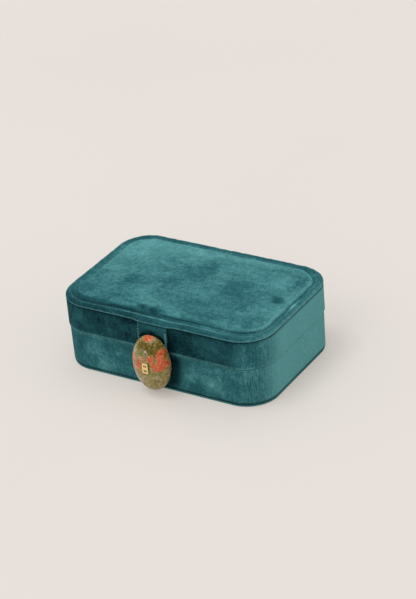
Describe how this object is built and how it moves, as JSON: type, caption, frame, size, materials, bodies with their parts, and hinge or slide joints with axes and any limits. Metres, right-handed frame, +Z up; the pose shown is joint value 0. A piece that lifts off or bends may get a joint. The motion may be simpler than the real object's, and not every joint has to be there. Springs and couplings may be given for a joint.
{
  "type": "travel jewelry case",
  "caption": "Rounded velvet-covered travel jewelry case with a hinged padded lid, a clasp tab that carries an oval stone, and a fitted interior with ring rolls, dividers and a mirror.",
  "frame": {"origin": "middle of the flat underside, where the closed case stands", "axes": "+Z up, +X along the case's width, -Y towards the front, where the clasp is"},
  "size_m": [0.18, 0.1365, 0.061],
  "materials": {
    "outer_velvet": "short-pile teal velvet",
    "bottom_velvet": "short-pile dark teal velvet",
    "lining_suede": "teal microsuede",
    "roll_suede": "teal microsuede over foam",
    "tab_backing": "dark teal microsuede",
    "greyboard": "raw greyboard",
    "foam": "open-cell foam",
    "mirror_glass": "silvered glass",
    "magnet_steel": "nickel-plated magnet",
    "polished_stone": "polished green and orange stone",
    "gold_metal": "polished gold plate"
  },
  "bodies": {
    "base": {"bottom_cover": "bottom_velvet", "bottom_board": "greyboard", "base_wall_board": "greyboard", "base_side_cover": "outer_velvet", "base_wall_lining": "lining_suede", "base_floor_lining": "lining_suede", "wall_magnet": "magnet_steel", "long_divider": "lining_suede", "front_divider_left": "lining_suede", "front_divider_right": "lining_suede", "back_divider": "lining_suede", "roll_bed": "lining_suede", "ring_roll_1": "roll_suede", "ring_roll_2": "roll_suede", "ring_roll_3": "roll_suede", "ring_roll_4": "roll_suede", "ring_roll_5": "roll_suede", "ring_roll_6": "roll_suede", "ring_roll_7": "roll_suede", "hinge_cloth_lower": "outer_velvet", "inner_hinge_lower": "lining_suede"},
    "lid": {"lid_wall_board": "greyboard", "lid_top_board": "greyboard", "lid_side_cover": "outer_velvet", "lid_wall_lining": "lining_suede", "lid_ceiling_lining": "lining_suede", "rim_core": "foam", "rim_cover": "outer_velvet", "pad_board": "greyboard", "top_foam": "foam", "top_cover": "outer_velvet", "mirror_frame": "lining_suede", "mirror": "mirror_glass", "hinge_cloth_upper": "outer_velvet", "inner_hinge_upper": "lining_suede"},
    "tab": {"tab_lining": "tab_backing", "tab_core": "greyboard", "tab_cover": "outer_velvet", "tab_magnet": "magnet_steel", "stone_plate": "gold_metal", "stone": "polished_stone", "badge": "gold_metal", "badge_rivets": "gold_metal"}
  },
  "joints": [
    {"name": "lid_hinge", "type": "hinge", "parent": "base", "child": "lid", "pos_m": [0, 0.0605, 0.0322], "axis": [-1, 0, 0], "range_deg": [0, 100]},
    {"name": "tab_flap", "type": "hinge", "parent": "lid", "child": "tab", "pos_m": [0, -0.0626, 0.0551], "axis": [-1, 0, 0], "range_deg": [0, 110]}
  ]
}
